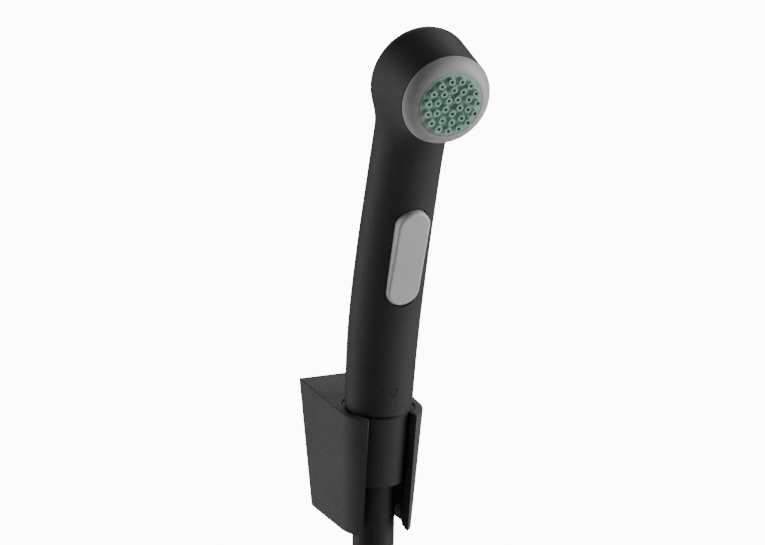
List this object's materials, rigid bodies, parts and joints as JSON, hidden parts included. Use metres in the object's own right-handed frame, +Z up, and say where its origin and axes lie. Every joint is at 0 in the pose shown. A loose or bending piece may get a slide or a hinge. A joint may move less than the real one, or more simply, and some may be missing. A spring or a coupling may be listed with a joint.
{
  "type": "trigger hand shower with wall holder",
  "caption": "Slim hand shower with a press trigger and a small round spray head, standing in a wedge-shaped wall holder on its smooth hose.",
  "frame": {"origin": "middle of the two wall screw holes, on the wall plane", "axes": "+Y into the wall, +Z up, +X to the right of someone facing the wall; the holder seat, nut, first hose stretch and foot of the handset lean 13 degrees forward"},
  "size_m": [0.1985, 0.1265, 0.5059],
  "materials": {
    "black_shell": "satin moulded black plastic",
    "black_holder": "fine-textured black plastic",
    "black_hose": "smooth black hose",
    "grey_button": "satin grey plastic",
    "grey_ring": "satin silver-grey plastic",
    "green_mat": "soft grey-green silicone",
    "white_plastic": "natural acetal",
    "brass": "machined",
    "steel": "stainless",
    "seal": "moulded seal",
    "chrome": "plated"
  },
  "bodies": {
    "holder": {"holder_body": "black_holder", "holder_liner": "black_holder", "wall_plate": "steel", "holder_set_screw": "steel"},
    "handset": {"handset_shell": "black_shell", "spray_ring": "grey_ring", "nozzle_mat": "green_mat", "jet_plate": "white_plastic", "head_gasket": "seal", "head_manifold": "white_plastic", "tube_seal_head": "seal", "inlet_connector": "brass", "check_valve_body": "white_plastic", "check_valve_spring": "steel", "flow_limiter": "white_plastic", "locking_pin": "black_shell", "tube_seal_inlet": "seal", "valve_body": "white_plastic", "valve_bonnet": "brass", "stem_seal": "seal", "valve_plug": "brass", "valve_spring": "steel", "tube_seal_valve_low": "seal", "tube_seal_valve_high": "seal", "trigger_pin": "steel", "trigger_spring": "steel", "water_tube_lower": "white_plastic", "water_tube_upper": "white_plastic", "hose_nut": "black_shell", "inlet_washer": "seal"},
    "check_poppet": {"check_valve_poppet": "white_plastic"},
    "valve_stem": {"valve_stem": "brass", "valve_seal": "seal"},
    "trigger": {"trigger_button": "grey_button"},
    "hose": {"hose_stem": "brass", "hose_sleeve": "chrome", "hose_tube": "black_hose", "hose_coil": "black_hose", "hose_tie": "black_hose", "hose_tail": "black_hose", "far_stem": "brass", "far_sleeve": "chrome", "far_washer": "seal"},
    "far_nut": {"far_nut": "chrome"}
  },
  "joints": [
    {"name": "handset_lift", "type": "slide", "parent": "holder", "child": "hose", "axis": [0, -0.225, 0.9744], "range_m": [0, 0.032]},
    {"name": "handset_swivel", "type": "hinge", "parent": "hose", "child": "handset", "pos_m": [0, -0.03556, 0.01829], "axis": [0, -0.225, 0.9744], "continuous": true},
    {"name": "trigger_press", "type": "hinge", "parent": "handset", "child": "trigger", "pos_m": [0, -0.06053, 0.07224], "axis": [-1, 0, 0], "range_deg": [0, 4.5], "stiffness_Nm_per_rad": 2, "springref_deg": -4.58, "deforming": ["trigger_spring"]},
    {"name": "valve_stem_slide", "type": "slide", "parent": "handset", "child": "valve_stem", "axis": [0, 0.9239, 0.3827], "range_m": [0, 0.0021], "deforming": ["valve_spring"]},
    {"name": "check_poppet_slide", "type": "slide", "parent": "handset", "child": "check_poppet", "axis": [0, -0.225, 0.9744], "range_m": [0, 0.0015], "stiffness_N_per_m": 100, "springref_m": -0.002, "deforming": ["check_valve_spring"]},
    {"name": "far_nut_spin", "type": "hinge", "parent": "hose", "child": "far_nut", "pos_m": [-0.00645, -0.04524, -0.12292], "axis": [0.8253, -0.3304, 0.4579], "continuous": true}
  ],
  "couplings": [
    {"joint": "valve_stem_slide", "follows": "trigger_press", "m_per_rad": 0.0233}
  ]
}
